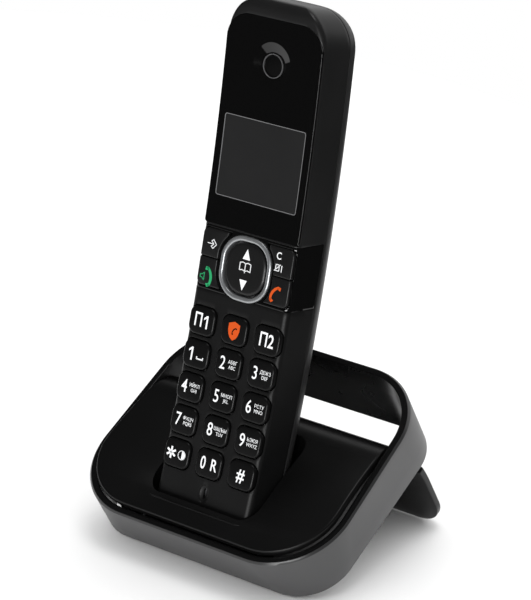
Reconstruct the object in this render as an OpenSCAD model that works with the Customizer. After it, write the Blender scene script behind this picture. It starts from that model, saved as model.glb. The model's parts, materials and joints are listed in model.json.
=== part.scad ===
// Cordless telephone handset standing in its desk charging cradle.
// +Z is up, the front of the phone faces -Y, and the origin is on the
// table under the centre of the whole phone. Millimetres.

/* [Cradle band] */
// Angle of the band's top rim to the table, rear end up
band_tilt = 29.87; // [27:0.5:32]
// Half width of the rim at its front end
band_half_front = 53.2; // [52:0.1:55]
// Half width of the rim at its rear end
band_half_rear = 49.65; // [48:0.1:50.5]
// Length of the rim from front to rear, along its own slope
band_length = 84.4; // [83:0.1:86]
// Thickness of the band's wall
band_wall = 2.9; // [2.4:0.1:3.1]
// Height of the band's wall at the front
band_height = 18.77; // [18:0.1:20]
// Extra height of the wall for each millimetre towards the rear
band_height_growth = 0.068; // [0.05:0.002:0.08]
// Radius of the rim's corners
rim_corner = 25.5; // [24:0.5:27]
// Radius of the corners of the wall's lower edge
foot_corner = 17; // [15:0.5:20]

/* [Cradle tray] */
// Height of the tray's crest above the rim
tray_crest = 2.7; // [2:0.1:3]
// Thickness of the tray and of the leg
tray_wall = 2.6; // [2.2:0.1:3]
// Half width of the rear leg
leg_half_width = 47.3; // [46.5:0.1:47.6]
// Radius of the leg's two lower corners
leg_corner = 11; // [8:1:14]

/* [Handset] */
// Lean of the handset from upright
handset_lean = 14.26; // [13:0.2:15]
// Length of the handset
handset_length = 177.5; // [174:0.5:178]
// Half width of the front face
face_half_width = 19.6; // [19.2:0.1:19.8]
// Half width at the line where front and rear shells meet
body_half_width = 21.4; // [21:0.1:21.6]
// Depth of the front shell
front_depth = 12; // [11.5:0.1:12.4]
// Depth of the whole handset
body_depth = 23; // [22.4:0.1:23.2]
// Radius of the hollow curve of the face, seen from the side
face_curve = 781; // [700:10:900]
// Thickness of the front shell's wall
front_wall = 2; // [1.8:0.1:2.2]
// Thickness of the rear shell's wall
rear_wall = 1.6; // [1.4:0.1:1.8]

/* [Keys] */
// Distance between key columns
key_pitch_across = 13.5; // [13.2:0.1:13.8]
// Distance between key rows
key_pitch_up = 11.28; // [11:0.04:11.6]
// Width of a key
key_width = 10.6; // [10:0.1:10.8]
// Height of a key
key_height = 9.5; // [9:0.1:9.6]
// Height of the lowest row above the handset's reference point
key_first_row = 14.8; // [14.4:0.1:15.2]
// How far a key stands out of the face
key_proud = 0.8; // [0.5:0.1:1]
// Gap around each key
key_gap = 0.25; // [0.2:0.05:0.35]
// How far a key moves when it is pressed
key_travel = 0.7; // [0.5:0.1:0.8]

/* [Display] */
// Width of the display window
window_width = 32.9; // [32:0.1:33.2]
// Height of the display window
window_height = 27.1; // [26.5:0.1:27.5]
// Height of the window's centre above the reference point
window_centre = 115.7; // [115:0.1:116.5]

/* [Hidden] */
tiny = 0.01;

// Places of the two frames that the phone is drawn in. The rim frame lies in
// the plane of the rim: x across, y up the slope, z square to the rim. The
// handset frame leans with it: x across, y into its back, z up its length.
middle_y = 35.53;
rim_front_y = -7.7;
rim_front_z = 15.32;
hand_y = 3.1;
hand_z = 21.52;
table_gap = 0.4;
reach = 200;

// Handset, along its length
hand_bottom = -9;
hand_top = hand_bottom + handset_length;
hollow_height = 83.35;
hollow_depth = 4.45;
face_corner = 2.2;
back_power = 2.3;
nav_low = 70.5;
nav_high = 92;
nav_centre = 80.5;
nav_wrap = 9.5;
ring_outer = [20.6, 21.4];
ring_inner = [17.4, 18.2];
ring_corner = 8.6;
rocker = [16.4, 17.2];
rocker_corner = 7.2;
pivot_radius = 0.7;
pivot_gap = 0.05;
pivot_depth = 1.5;
side_key_in = 11.3;
side_key_out = 18.7;
side_key_top = 90.9;
side_key_bottom = 71.7;
side_key_split = 81.2;
side_key_seam = 0.5;
side_key_proud = 0.4;
lens_half_width = 19.2;
lens_top = 161.2;
lens_corner = 8.5;
lens_recess = 1.05;
ear_height = 147.8;
mic_height = 4.8;

// Handset, from front to back
flange_out = 0.5;
flange_thick = 0.8;
flange_width = 7.6;
membrane_depth = 8.4;
stud_end = membrane_depth - key_travel - 0.1;
board_depth = 9;
board_thick = 1.2;
bay_floor = 11;
bay_floor_thick = 1;
bay_half_width = 13.4;
bay_low = 33;
bay_high = 99;
cell_radius = 5.25;
cell_length = 44.5;
cell_depth = 17.6;
cell_low = 35.6;
cell_across = 5.6;
door_half_width = 14;
door_low = 32;
door_high = 100;
door_gap = 0.2;
screw_across = 11;
screw_height = 95;
pilot_start = 6.1;

// Cradle
crest_s = 27;
front_fall = 0.0012;
rear_fall = 0.0034;
bend_s = 50;
bend_radius = 15;
bend_turn = 58;
leg_radius = 50;
tray_gap = 0.6;
pocket_half_width = 22.2;
pocket_front = -2.2;
pocket_back = 26;
contact_depth = 7.5;
pad_radius = 1.9;
pocket_floor = -9.4;
pocket_corner = 5.5;
pocket_wall = 1.6;
cover_half_width = 33;
cover_rear_half = 25;
cover_taper = [56, 75];
cover_wall = 2;
cover_floor = 0.8;
cover_floor_top = 2.6;
boss_places = [[-27.3, 14], [27.3, 14], [-27.3, 44], [27.3, 44]];
boss_tops = [28.6, 28.6, 39.8, 39.8];
foot_places = [[-19, 13], [19, 13], [-20, 66], [20, 66]];
socket_mouth_y = 70.2;
socket_across = 16;
socket_low = 7;
pin_radius = 1.2;
pin_gap = 0.06;
pin_across = 8;

// ---------- frames ----------
module rim_frame() {
    translate([0, rim_front_y - middle_y, rim_front_z]) rotate([band_tilt, 0, 0]) children();
}
module hand_frame() {
    translate([0, hand_y - middle_y, hand_z]) rotate([-handset_lean, 0, 0]) children();
}
module table_frame() {
    translate([0, -middle_y, 0]) children();
}
// Draws a flat shape, seen from the front, as a solid from one depth to another.
module into_depth(from, to) {
    translate([0, from, 0]) rotate([-90, 0, 0])
        linear_extrude(to - from) mirror([0, 1, 0]) children();
}
// Draws a side view as a solid across the whole width.
module across(half) {
    rotate([90, 0, 90]) translate([0, 0, -half]) linear_extrude(2 * half) children();
}
// Keeps what is above the given height over the table, in the rim frame.
module above_table(height) {
    intersection() {
        children();
        rotate([-band_tilt, 0, 0]) translate([-reach / 2, -reach / 2, height - rim_front_z])
            cube([reach, reach, reach]);
    }
}

// ---------- outlines ----------
function unit(v) = v / norm(v);
function corner_arc(a, b, c, r, n) =
    let (
        d1 = unit(a - b),
        d2 = unit(c - b),
        h = acos(d1 * d2) / 2,
        centre = b + unit(d1 + d2) * r / sin(h),
        t1 = b + d1 * r / tan(h) - centre,
        t2 = b + d2 * r / tan(h) - centre,
        a1 = atan2(t1[1], t1[0]),
        turn = (atan2(t2[1], t2[0]) - a1 + 540) % 360 - 180
    )
    [for (k = [0:n]) centre + r * [cos(a1 + turn * k / n), sin(a1 + turn * k / n)]];
function rounded(points, radii, n) =
    let (m = len(points))
    [for (i = [0:m - 1])
        each corner_arc(points[(i + m - 1) % m], points[i], points[(i + 1) % m], radii[i], n)];
module rounded_rect(size, r) {
    square([size[0] - 2 * r, size[1]], center = true);
    square([size[0], size[1] - 2 * r], center = true);
    for (x = [-1, 1], y = [-1, 1])
        translate([x * (size[0] / 2 - r), y * (size[1] / 2 - r)]) circle(r, $fn = 48);
}
module rounded_block(size, r, low, high) {
    translate([0, 0, low]) linear_extrude(high - low) rounded_rect(size, r);
}

// ---------- cradle ----------
// Outline of the rim, drawn in from its outer edge by an inset.
function rim_outline(inset_x, inset_s, r, n) =
    rounded([
        [-band_half_front + inset_x, inset_s], [band_half_front - inset_x, inset_s],
        [band_half_rear - inset_x, band_length - inset_s],
        [-band_half_rear + inset_x, band_length - inset_s]
    ], [r, r, r, r], n);
function wall_low(s) = -band_height - band_height_growth * s;
function level(points, z) = [for (p = points) [p[0], p[1], z]];
function foot_level(points) = [for (p = points) [p[0], p[1], wall_low(p[1])]];
function ring_faces(loops, n) = [
    for (i = [0:loops - 1], j = [0:n - 1])
        let (a = i * n + j, b = i * n + (j + 1) % n, k = (i + 1) % loops, c = k * n + (j + 1) % n, d = k * n + j)
        each [[a, b, c], [a, c, d]]
];
band_steps = 14;
foot_inset = [2.8, 2.2];
module base_band() {
    loops = [
        level(rim_outline(0, 0, rim_corner, band_steps), 0),
        foot_level(rim_outline(foot_inset[0], foot_inset[1], foot_corner, band_steps)),
        foot_level(rim_outline(foot_inset[0] + band_wall, foot_inset[1] + band_wall,
            foot_corner - band_wall, band_steps)),
        level(rim_outline(band_wall, band_wall, rim_corner - band_wall, band_steps), 0)
    ];
    count = len(loops[0]);
    color([0.10, 0.10, 0.11]) rim_frame() above_table(table_gap)
        polyhedron([for (l = loops) each l], ring_faces(4, count), convexity = 6);
}

// Side view of the tray's upper surface: a crest, a bend and the leg.
function crest(s) = tray_crest - (s < crest_s ? front_fall : rear_fall) * pow(s - crest_s, 2);
bend_start = atan(2 * rear_fall * (bend_s - crest_s));
bend_centre = [bend_s - bend_radius * sin(bend_start), crest(bend_s) - bend_radius * cos(bend_start)];
bend_end = bend_centre + bend_radius * [sin(bend_turn), cos(bend_turn)];
leg_centre = bend_end - leg_radius * [sin(bend_turn), cos(bend_turn)];
leg_back = leg_centre[0] + leg_radius;
leg_low = -62;
tray_front = 3.5;
bend_steps = 8;
function tray_curve(inset) = concat(
    [for (k = [0:9]) let (s = tray_front + (bend_s - tray_front) * k / 10) [s, crest(s) - inset]],
    [for (k = [0:bend_steps]) let (t = bend_start + (bend_turn - bend_start) * k / bend_steps)
        bend_centre + (bend_radius - inset) * [sin(t), cos(t)]],
    [for (k = [1:bend_steps]) let (t = bend_turn + (90 - bend_turn) * k / bend_steps)
        leg_centre + (leg_radius - inset) * [sin(t), cos(t)]],
    [[leg_back - inset, leg_low]]
);
function backwards(list) = [for (i = [len(list) - 1:-1:0]) list[i]];
module tray_plate() {
    across(60) polygon(concat(tray_curve(0), backwards(tray_curve(tray_wall))));
}
module under_tray() {
    across(60) polygon(concat(tray_curve(tiny), [[tray_front, leg_low]]));
}
module plan_prism(inset, low, high) {
    translate([0, 0, low]) linear_extrude(high - low)
        polygon(rim_outline(inset, inset, rim_corner - inset, band_steps));
}
leg_shoulder = -23.7;
leg_neck = 44.1;
leg_top_half = 46.9;
leg_root = -55.2;
module leg_view() {
    polygon(concat(
        [[leg_neck, leg_shoulder], [leg_neck + 0.5, -18], [leg_top_half, 0], [leg_top_half, 4],
            [60, 4], [60, 20], [-60, 20], [-60, 4], [-leg_top_half, 4], [-leg_top_half, 0],
            [-leg_neck - 0.5, -18], [-leg_neck, leg_shoulder], [-leg_half_width, leg_shoulder]],
        corner_arc([-leg_half_width, leg_shoulder], [-leg_half_width, leg_root], [0, leg_root], leg_corner, 8),
        corner_arc([0, leg_root], [leg_half_width, leg_root], [leg_half_width, leg_shoulder], leg_corner, 8),
        [[leg_half_width, leg_shoulder]]
    ));
}
// The leg's view also trims the bend, which narrows inside the band.
module leg_trim() {
    rotate([90, 0, 0]) translate([0, 0, -100]) linear_extrude(150) leg_view();
    translate([-60, -20, -70]) cube([120, 20 + bend_s, 100]);
}
skirt_inset = 4.4;
skirt_low = -7;
module tray_skirt() {
    intersection() {
        difference() {
            plan_prism(skirt_inset, skirt_low, 5);
            plan_prism(skirt_inset + 1.6, skirt_low - 1, 6);
        }
        under_tray();
        translate([-60, 0, -10]) cube([120, bend_s + 2, 20]);
    }
}
// Tabs from the skirt that hold the tray inside the band.
tab_inset = 3.95;
module band_tabs() {
    intersection() {
        difference() {
            plan_prism(tab_inset, -6.6, -5);
            plan_prism(skirt_inset + 1, -7, -4);
        }
        union() {
            for (s = [26, 44]) translate([-60, s - 4, -8]) cube([120, 8, 8]);
            for (x = [-20, 20]) translate([x - 4, 0, -8]) cube([8, 12, 8]);
        }
    }
}
module from_hand_to_rim() {
    rotate([-band_tilt, 0, 0]) translate([0, hand_y - rim_front_y, hand_z - rim_front_z])
        rotate([-handset_lean, 0, 0]) children();
}
module from_table_to_rim() {
    rotate([-band_tilt, 0, 0]) translate([0, -rim_front_y, -rim_front_z]) children();
}
pocket_middle = (pocket_front + pocket_back) / 2;
module pocket_prism(grow, low, high) {
    translate([0, pocket_middle, 0])
        rounded_block([2 * (pocket_half_width + grow), pocket_back - pocket_front + 2 * grow],
            pocket_corner + grow, low, high);
}
boss_low = 4.8;
boss_radius = 3;
module tray_bosses() {
    from_table_to_rim() for (i = [0:3])
        translate([boss_places[i][0], boss_places[i][1], boss_low])
            cylinder(r = boss_radius, h = boss_tops[i] - boss_low, $fn = 48);
}
pilot_radius = 1.1;
module tray_boss_holes() {
    from_table_to_rim() for (p = boss_places)
        translate([p[0], p[1], boss_low - 1]) cylinder(r = pilot_radius, h = 13, $fn = 32);
}
pin_top = -9.1;
pin_bottom = -11.05;
module cradle_tray() {
    color([0.13, 0.13, 0.14]) rim_frame() above_table(table_gap) difference() {
        union() {
            intersection() {
                tray_plate();
                plan_prism(band_wall + tray_gap, -80, 10);
                leg_trim();
            }
            tray_skirt();
            band_tabs();
            intersection() {
                from_hand_to_rim() pocket_prism(pocket_wall, pocket_floor - pocket_wall, 60);
                under_tray();
            }
            tray_bosses();
        }
        from_hand_to_rim() pocket_prism(0, pocket_floor, 90);
        from_hand_to_rim() for (x = [-1, 1])
            translate([x * pin_across, contact_depth, pin_bottom - 1])
                cylinder(r = pin_radius + pin_gap, h = 8, $fn = 48);
        tray_boss_holes();
        from_table_to_rim() socket_windows();
    }
}

// Openings through the leg for the two sockets and the paging button.
socket_outer = [12.4, 11.2];
button_size = [9, 5.4];
button_low = 9.2;
button_gap = 0.3;
module socket_windows() {
    for (x = [-1, 1])
        translate([x * socket_across - socket_outer[0] / 2 - 0.2, 60, socket_low - 0.2])
            cube([socket_outer[0] + 0.4, 30, socket_outer[1] + 0.4]);
    translate([-button_size[0] / 2 - button_gap, 60, button_low - button_gap])
        cube([button_size[0] + 2 * button_gap, 30, button_size[1] + 2 * button_gap]);
}

// Side view of the bottom cover, in the rim frame: it fits under the tray.
cover_front = 6.4;
function cover_side(inset) = [
    [cover_front + inset, -4], [46, -4], [56, -9], [61, -20], [64.3, -34], [64.6, -70],
    [cover_front + inset, -70]
];
// Plan of the bottom cover: its rear end is narrower, so the cover stays
// hidden behind the band.
module cover_plan(inset) {
    a = cover_half_width - inset;
    b = cover_rear_half - inset;
    from_table_to_rim() translate([0, 0, -20]) linear_extrude(120) polygon([
        [-a, 0], [a, 0], [a, cover_taper[0]], [b, cover_taper[1]],
        [b, 90], [-b, 90], [-b, cover_taper[1]], [-a, cover_taper[0]]
    ]);
}
module base_bottom_cover() {
    color([0.16, 0.16, 0.17]) rim_frame() difference() {
        union() {
            above_table(cover_floor) difference() {
                intersection() {
                    across(40) polygon(cover_side(0));
                    cover_plan(0);
                }
                intersection() {
                    cover_plan(cover_wall);
                    above_table(cover_floor_top)
                        across(50) polygon([
                            [cover_front + cover_wall, 2], [80, 2], [80, -80], [cover_front + cover_wall, -80]
                        ]);
                }
            }
            from_table_to_rim() for (p = boss_places)
                translate([p[0], p[1], cover_floor]) cylinder(r = 4.3, h = boss_low - 0.2 - cover_floor, $fn = 48);
        }
        above_table(cover_floor_top) from_hand_to_rim() pocket_prism(pocket_wall + 0.4, -14.5, 60);
        from_table_to_rim() for (p = boss_places) {
            translate([p[0], p[1], cover_floor - 1]) cylinder(r = 3, h = 3.4, $fn = 48);
            translate([p[0], p[1], cover_floor]) cylinder(r = 1.6, h = 8, $fn = 32);
        }
    }
}
module base_feet() {
    color([0.22, 0.22, 0.22]) table_frame() for (p = foot_places)
        translate([p[0], p[1], 0]) cylinder(r = 4.5, h = cover_floor, $fn = 48);
}
screw_head_top = 3.1;
module base_screws() {
    color([0.6, 0.6, 0.62]) table_frame() for (p = boss_places) translate([p[0], p[1], 0]) {
        difference() {
            translate([0, 0, 1.4]) cylinder(r = 2.6, h = screw_head_top - 1.4, $fn = 48);
            translate([0, 0, 1]) rotate([0, 0, 45]) cube([0.7, 3, 1.8], center = true);
            translate([0, 0, 1]) rotate([0, 0, -45]) cube([0.7, 3, 1.8], center = true);
        }
        translate([0, 0, screw_head_top - tiny]) cylinder(r = 1.05, h = 9, $fn = 32);
    }
}
base_board_z = 5.2;
board_half = 23.6;
module base_circuit_board() {
    color([0.05, 0.35, 0.15]) table_frame() difference() {
        translate([-board_half, 33, base_board_z]) cube([2 * board_half, 31, 1.6]);
        translate([-board_half - tiny, 32, base_board_z - 1]) cube([6, 4, 4]);
    }
}
module base_radio_shield() {
    color([0.7, 0.7, 0.72]) table_frame() translate([-13, 37, base_board_z + 1.7]) difference() {
        cube([26, 16, 4]);
        translate([0.4, 0.4, -tiny]) cube([25.2, 15.2, 3.6]);
    }
}
// A modular socket: a box with a stepped mouth that opens to the rear.
module modular_socket(mouth, latch) {
    translate([-socket_outer[0] / 2, 0, 0]) difference() {
        cube([socket_outer[0], 15, socket_outer[1]]);
        translate([(socket_outer[0] - mouth[0]) / 2, 4, 3]) cube([mouth[0], 20, mouth[1]]);
        translate([(socket_outer[0] - latch) / 2, 4, 1]) cube([latch, 20, 2 + tiny]);
    }
}
module line_socket() {
    color([0.12, 0.12, 0.12]) table_frame()
        translate([socket_across, socket_mouth_y - 15, socket_low]) modular_socket([9.8, 7], 3.4);
}
module power_socket() {
    color([0.14, 0.14, 0.14]) table_frame()
        translate([-socket_across, socket_mouth_y - 15, socket_low]) modular_socket([7.8, 7], 3.4);
}
module paging_button() {
    color([0.25, 0.25, 0.26]) table_frame() {
        translate([-button_size[0] / 2, 66.8, button_low]) cube([button_size[0], 6.4, button_size[1]]);
        translate([-button_size[0] / 2 - 1.2, 65.3, button_low - 1]) cube([button_size[0] + 2.4, 1.6, button_size[1] + 2]);
        translate([-1.6, 63.9, button_low + 1.1]) cube([3.2, 1.5, 3.2]);
    }
}
module paging_switch() {
    color([0.75, 0.75, 0.76]) table_frame() {
        translate([-3, 58.6, base_board_z + 1.7]) cube([6, 3.6, 7.4]);
        translate([-1.5, 62.1, button_low + 1.2]) cube([3, 0.8, 3]);
    }
}
module charge_pin(side) {
    color([0.85, 0.68, 0.3]) hand_frame() translate([side * pin_across, contact_depth, 0]) {
        translate([0, 0, pin_bottom]) cylinder(r = pin_radius, h = pin_top - pin_bottom, $fn = 48);
        translate([0, 0, pin_bottom - 0.8]) cylinder(r = 2, h = 0.8, $fn = 48);
    }
}
module charge_pin_left() { charge_pin(-1); }
module charge_pin_right() { charge_pin(1); }

// ---------- handset ----------
// Depth of the face below the line between its two ends.
function face_at(v) = hollow_depth - pow(v - hollow_height, 2) / (2 * face_curve);
sweep_low = -7.4;
sweep_high = 6.8;
// Sweeps a section along the hollow curve of the face. A section is drawn as
// [depth below the face, distance across].
module sweep() {
    translate([0, hollow_depth - face_curve, hollow_height]) rotate([sweep_low, 0, 0])
        rotate([90, 0, 90]) rotate_extrude(angle = sweep_high - sweep_low, $fn = 2400)
            translate([face_curve, 0]) children();
}
function mirrored(points) = concat(points, [for (i = [len(points) - 1:-1:0]) [points[i][0], -points[i][1]]]);
function front_half(inset, back) = concat(
    [for (k = [0:6]) let (t = 90 * k / 6, r = max(face_corner - inset, 0.3))
        [inset + r * (1 - cos(t)), face_half_width - inset - r * (1 - sin(t))]],
    [[back, body_half_width - inset]]
);
module front_section(inset, back) {
    polygon(mirrored(front_half(inset, back)));
}
back_steps = 10;
function back_half(inset, start) = concat(
    start < front_depth ? [[start, body_half_width - inset]] : [],
    [for (k = [0:back_steps]) let (t = 90 * k / back_steps)
        [front_depth + (body_depth - front_depth - inset) * pow(sin(t), 2 / back_power),
            (body_half_width - inset) * pow(cos(t), 2 / back_power)]]
);
module back_section(inset, start) {
    polygon(mirrored([for (p = back_half(inset, start)) if (p[1] > 0.001) p]));
}
// Front view of the whole handset.
module hand_outline(inset) {
    w = body_half_width + 2;
    polygon(rounded([
        [-w + 2 - inset, hand_bottom + inset], [w - 2 + inset, hand_bottom + inset],
        [w - 2 - inset, hand_top - inset], [-w + 2 + inset, hand_top - inset]
    ], [6.5, 6.5, 13 - inset, 13 - inset], 10));
}
// Side view of the two ends: rounded at the face and at the back.
end_round = [4, 9, 7, 3];
module hand_side(inset) {
    low = hand_bottom + inset;
    high = hand_top - inset;
    polygon(concat(
        corner_arc([-1.2 + inset, 60], [-1.2 + inset, high], [20, high], end_round[0], 6),
        corner_arc([0, high], [23.7 - inset, high], [23.7 - inset, 60], end_round[1], 8),
        [[32, high - end_round[1]], [32, low + end_round[2]]],
        corner_arc([22.8 - inset, 60], [22.8 - inset, low], [0, low], end_round[2], 8),
        corner_arc([20, low], [-1.2 + inset, low], [-1.2 + inset, 60], end_round[3], 6)
    ));
}
module hand_ends(inset) {
    intersection() {
        into_depth(-4, 34) hand_outline(inset);
        across(30) hand_side(inset);
    }
}
// A plate that follows the face between two depths.
module face_layer(low, high) {
    intersection() {
        sweep() translate([low, -30]) square([high - low, 60]);
        into_depth(-6, 20) children();
    }
}

// Keypad, from the top row down and from left to right.
rows = 5;
function row_height(row) = key_first_row + (rows - 1 - row) * key_pitch_up;
function column_place(column) = (column - 1) * key_pitch_across;
key_corner = 2.8;
module key_at(row, column) {
    u = column_place(column);
    v = row_height(row);
    top = face_at(v) - 2;
    back = face_at(min(v + key_height / 2 + flange_out, hollow_height)) + front_wall + 0.12;
    color([0.12, 0.12, 0.13]) hand_frame() {
        intersection() {
            into_depth(top, back + tiny) translate([u, v]) rounded_rect([key_width, key_height], key_corner);
            flat_top(v, key_height, key_proud);
        }
        into_depth(back, back + flange_thick)
            translate([u, v]) rounded_rect([flange_width, key_height + 2 * flange_out], key_corner);
        into_depth(back + flange_thick - tiny, stud_end) translate([u, v]) circle(2, $fn = 32);
    }
}
// Keeps what lies behind a flat key top, which stands out of the face.
module flat_top(v, half, proud) {
    across(30) polygon([
        [face_at(v - half) - proud, v - half], [face_at(v + half) - proud, v + half], [20, v + half], [20, v - half]
    ]);
}
module keypad_holes() {
    for (row = [0:rows - 1], column = [0:2])
        into_depth(-3, 9) translate([column_place(column), row_height(row)])
            rounded_rect([key_width + 2 * key_gap, key_height + 2 * key_gap], key_corner + key_gap);
}
module key_p1() { key_at(0, 0); }
module key_guard() { key_at(0, 1); }
module key_p2() { key_at(0, 2); }
module key_1() { key_at(1, 0); }
module key_2() { key_at(1, 1); }
module key_3() { key_at(1, 2); }
module key_4() { key_at(2, 0); }
module key_5() { key_at(2, 1); }
module key_6() { key_at(2, 2); }
module key_7() { key_at(3, 0); }
module key_8() { key_at(3, 1); }
module key_9() { key_at(3, 2); }
module key_star() { key_at(4, 0); }
module key_0() { key_at(4, 1); }
module key_hash() { key_at(4, 2); }

// The four keys beside the navigation ring.
module side_key_shape(side, top, grow) {
    low = top ? side_key_split + side_key_seam / 2 : side_key_bottom;
    high = top ? side_key_top : side_key_split - side_key_seam / 2;
    difference() {
        translate([side > 0 ? side_key_in - 6 : -side_key_out, low])
            translate([-grow, -grow])
                square([side_key_out - side_key_in + 6 + 2 * grow, high - low + 2 * grow]);
        translate([0, nav_centre])
            rounded_rect([ring_outer[0] + 2 - 2 * grow, ring_outer[1] + 2 - 2 * grow], ring_corner + 1 - grow);
    }
}
module side_key(side, top) {
    v = (side_key_top + side_key_bottom) / 2;
    back = hollow_depth + front_wall + 0.3;
    color([0.08, 0.08, 0.09]) hand_frame() {
        intersection() {
            into_depth(0, back + tiny) side_key_shape(side, top, 0);
            flat_top(v, 10, side_key_proud);
        }
        into_depth(back, back + flange_thick) side_key_shape(side, top, -0.4);
        into_depth(back + flange_thick - tiny, stud_end)
            translate([side * 15.5, v + (top ? 4.8 : -4.8)]) circle(1.6, $fn = 32);
    }
}
module menu_key() { side_key(-1, true); }
module call_key() { side_key(-1, false); }
module clear_key() { side_key(1, true); }
module end_key() { side_key(1, false); }

module nav_zone(gap) {
    intersection() {
        sweep() translate([-3, -30]) square([3 + nav_wrap + gap, 60]);
        into_depth(-6, 20) translate([-30, nav_low - gap]) square([60, nav_high - nav_low + 2 * gap]);
    }
}
module shell_skin() {
    difference() {
        intersection() {
            sweep() front_section(0, front_depth);
            hand_ends(0);
        }
        intersection() {
            sweep() front_section(front_wall, front_depth + 1);
            hand_ends(front_wall);
        }
    }
}
module lens_outline(grow) {
    w = lens_half_width + grow;
    polygon(rounded([
        [-w, nav_high + 0.4 - grow], [w, nav_high + 0.4 - grow],
        [w, lens_top + grow], [-w, lens_top + grow]
    ], [1, 1, lens_corner + grow, lens_corner + grow], 8));
}
module screw_places() {
    for (x = [-1, 1]) translate([x * screw_across, screw_height]) children();
}
module handset_front_shell() {
    color([0.14, 0.14, 0.15]) hand_frame() difference() {
        union() {
            difference() {
                shell_skin();
                nav_zone(0.05);
            }
            into_depth(face_at(screw_height) + front_wall - 0.3, board_depth - 0.1)
                screw_places() circle(2.6, $fn = 40);
        }
        into_depth(pilot_start, board_depth + 1) screw_places() circle(0.9, $fn = 32);
        face_layer(-3, lens_recess) lens_outline(0.1);
        into_depth(-4, 8) translate([0, window_centre]) square([window_width, window_height], center = true);
        into_depth(-4, 6) for (x = [-3, -1, 1, 3]) translate([x, ear_height]) square([0.9, 5], center = true);
        into_depth(-4, 6) translate([0, mic_height]) square([1, 3], center = true);
        keypad_holes();
        ring_seat();
        for (x = [-1, 1]) translate([x * pin_across, contact_depth, hand_bottom - 1])
            cylinder(r = pad_radius + 0.05, h = 1.65, $fn = 40);
    }
}
module ring_seat() {
    into_depth(-4, 9) translate([0, nav_centre])
        rounded_rect([ring_outer[0] + 0.1, ring_outer[1] + 0.1], ring_corner);
}
// The rocker's pivot line, across the handset.
module pivot(r, half) {
    translate([-half, face_at(nav_centre) + pivot_depth, nav_centre]) rotate([0, 90, 0])
        cylinder(r = r, h = 2 * half, $fn = 32);
}
module navigation_bezel() {
    color([0.05, 0.05, 0.06]) hand_frame() difference() {
        intersection() {
            shell_skin();
            nav_zone(0);
        }
        ring_seat();
        into_depth(-4, 9) for (side = [-1, 1], top = [false, true]) side_key_shape(side, top, key_gap);
    }
}
module navigation_ring() {
    color([0.75, 0.76, 0.78]) hand_frame() difference() {
        face_layer(-0.5, 2.6) translate([0, nav_centre]) difference() {
            rounded_rect(ring_outer, ring_corner);
            rounded_rect(ring_inner, ring_corner - 1.4);
        }
        pivot(pivot_radius + pivot_gap, ring_outer[0] / 2 - 0.5);
    }
}
module navigation_key() {
    color([0.06, 0.06, 0.07]) hand_frame() {
        into_depth(face_at(nav_centre) - 0.3, face_at(nav_centre) + 3.2)
            translate([0, nav_centre]) rounded_rect(rocker, rocker_corner);
        pivot(pivot_radius, ring_outer[0] / 2 - 0.7);
    }
}
module display_lens() {
    color([0.03, 0.03, 0.04]) hand_frame() face_layer(-0.3, lens_recess - 0.05) lens_outline(0);
}
// One sheet under all the keys, with a stud for each, cut out for the bosses.
module keypad_membrane() {
    color([0.55, 0.55, 0.56]) hand_frame()
        into_depth(membrane_depth, board_depth - 0.05) translate([0, 49.5]) rounded_rect([35, 83], 3);
}
module handset_circuit_board() {
    color([0.05, 0.38, 0.16]) hand_frame() difference() {
        into_depth(board_depth, board_depth + board_thick) translate([0, 76]) rounded_rect([35, 156], 4);
        into_depth(board_depth - 1, board_depth + 3) screw_places() circle(1.5, $fn = 32);
    }
}
module display_module() {
    color([0.3, 0.33, 0.32]) hand_frame()
        into_depth(6.5, 8.8) translate([0, window_centre]) square([34.6, 31], center = true);
}
module earpiece() {
    color([0.3, 0.3, 0.3]) hand_frame() {
        into_depth(4.4, 7.2) translate([0, ear_height]) circle(7.5, $fn = 64);
        into_depth(7.2 - tiny, 8.6) translate([0, ear_height]) circle(4, $fn = 48);
    }
}
module microphone() {
    color([0.7, 0.7, 0.7]) hand_frame()
        into_depth(3.4, 5.6) translate([0, mic_height]) circle(2.2, $fn = 40);
}
module ringer() {
    color([0.25, 0.25, 0.25]) hand_frame()
        into_depth(board_depth + board_thick + 0.2, board_depth + board_thick + 4.2)
            translate([0, 136]) circle(9, $fn = 64);
}
module radio_shield() {
    color([0.72, 0.72, 0.74]) hand_frame()
        into_depth(board_depth + board_thick + 0.1, board_depth + board_thick + 2.6)
            translate([0, 113]) square([24, 20], center = true);
}
module door_outline(grow) {
    translate([0, (door_low + door_high) / 2])
        rounded_rect([2 * (door_half_width + grow), door_high - door_low + 2 * grow], 4);
}
module back_skin() {
    difference() {
        intersection() {
            sweep() back_section(0, front_depth);
            hand_ends(0);
        }
        intersection() {
            sweep() back_section(rear_wall, front_depth - 1);
            hand_ends(rear_wall);
        }
    }
}
bay_back = 24;
module battery_bay() {
    difference() {
        into_depth(bay_floor, bay_back) translate([0, (bay_low + bay_high) / 2])
            square([2 * bay_half_width + 2.4, bay_high - bay_low + 2.4], center = true);
        into_depth(bay_floor + bay_floor_thick, bay_back + 1) translate([0, (bay_low + bay_high) / 2])
            square([2 * bay_half_width, bay_high - bay_low], center = true);
    }
}
module handset_rear_shell() {
    color([0.15, 0.15, 0.16]) hand_frame() difference() {
        union() {
            back_skin();
            intersection() {
                battery_bay();
                sweep() back_section(0.6, 4);
            }
        }
        into_depth(19, 34) door_outline(0);
        into_depth(bay_floor - 1, bay_floor + 3) screw_places() circle(1.5, $fn = 32);
        into_depth(18, 34) for (x = [-4, -2, 0, 2, 4]) translate([x, 136]) square([1, 8], center = true);
    }
}
module battery_door() {
    color([0.17, 0.17, 0.18]) hand_frame() intersection() {
        difference() {
            sweep() back_section(0, front_depth);
            sweep() back_section(rear_wall, 10);
        }
        into_depth(19.2, 34) door_outline(-door_gap);
    }
}
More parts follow.
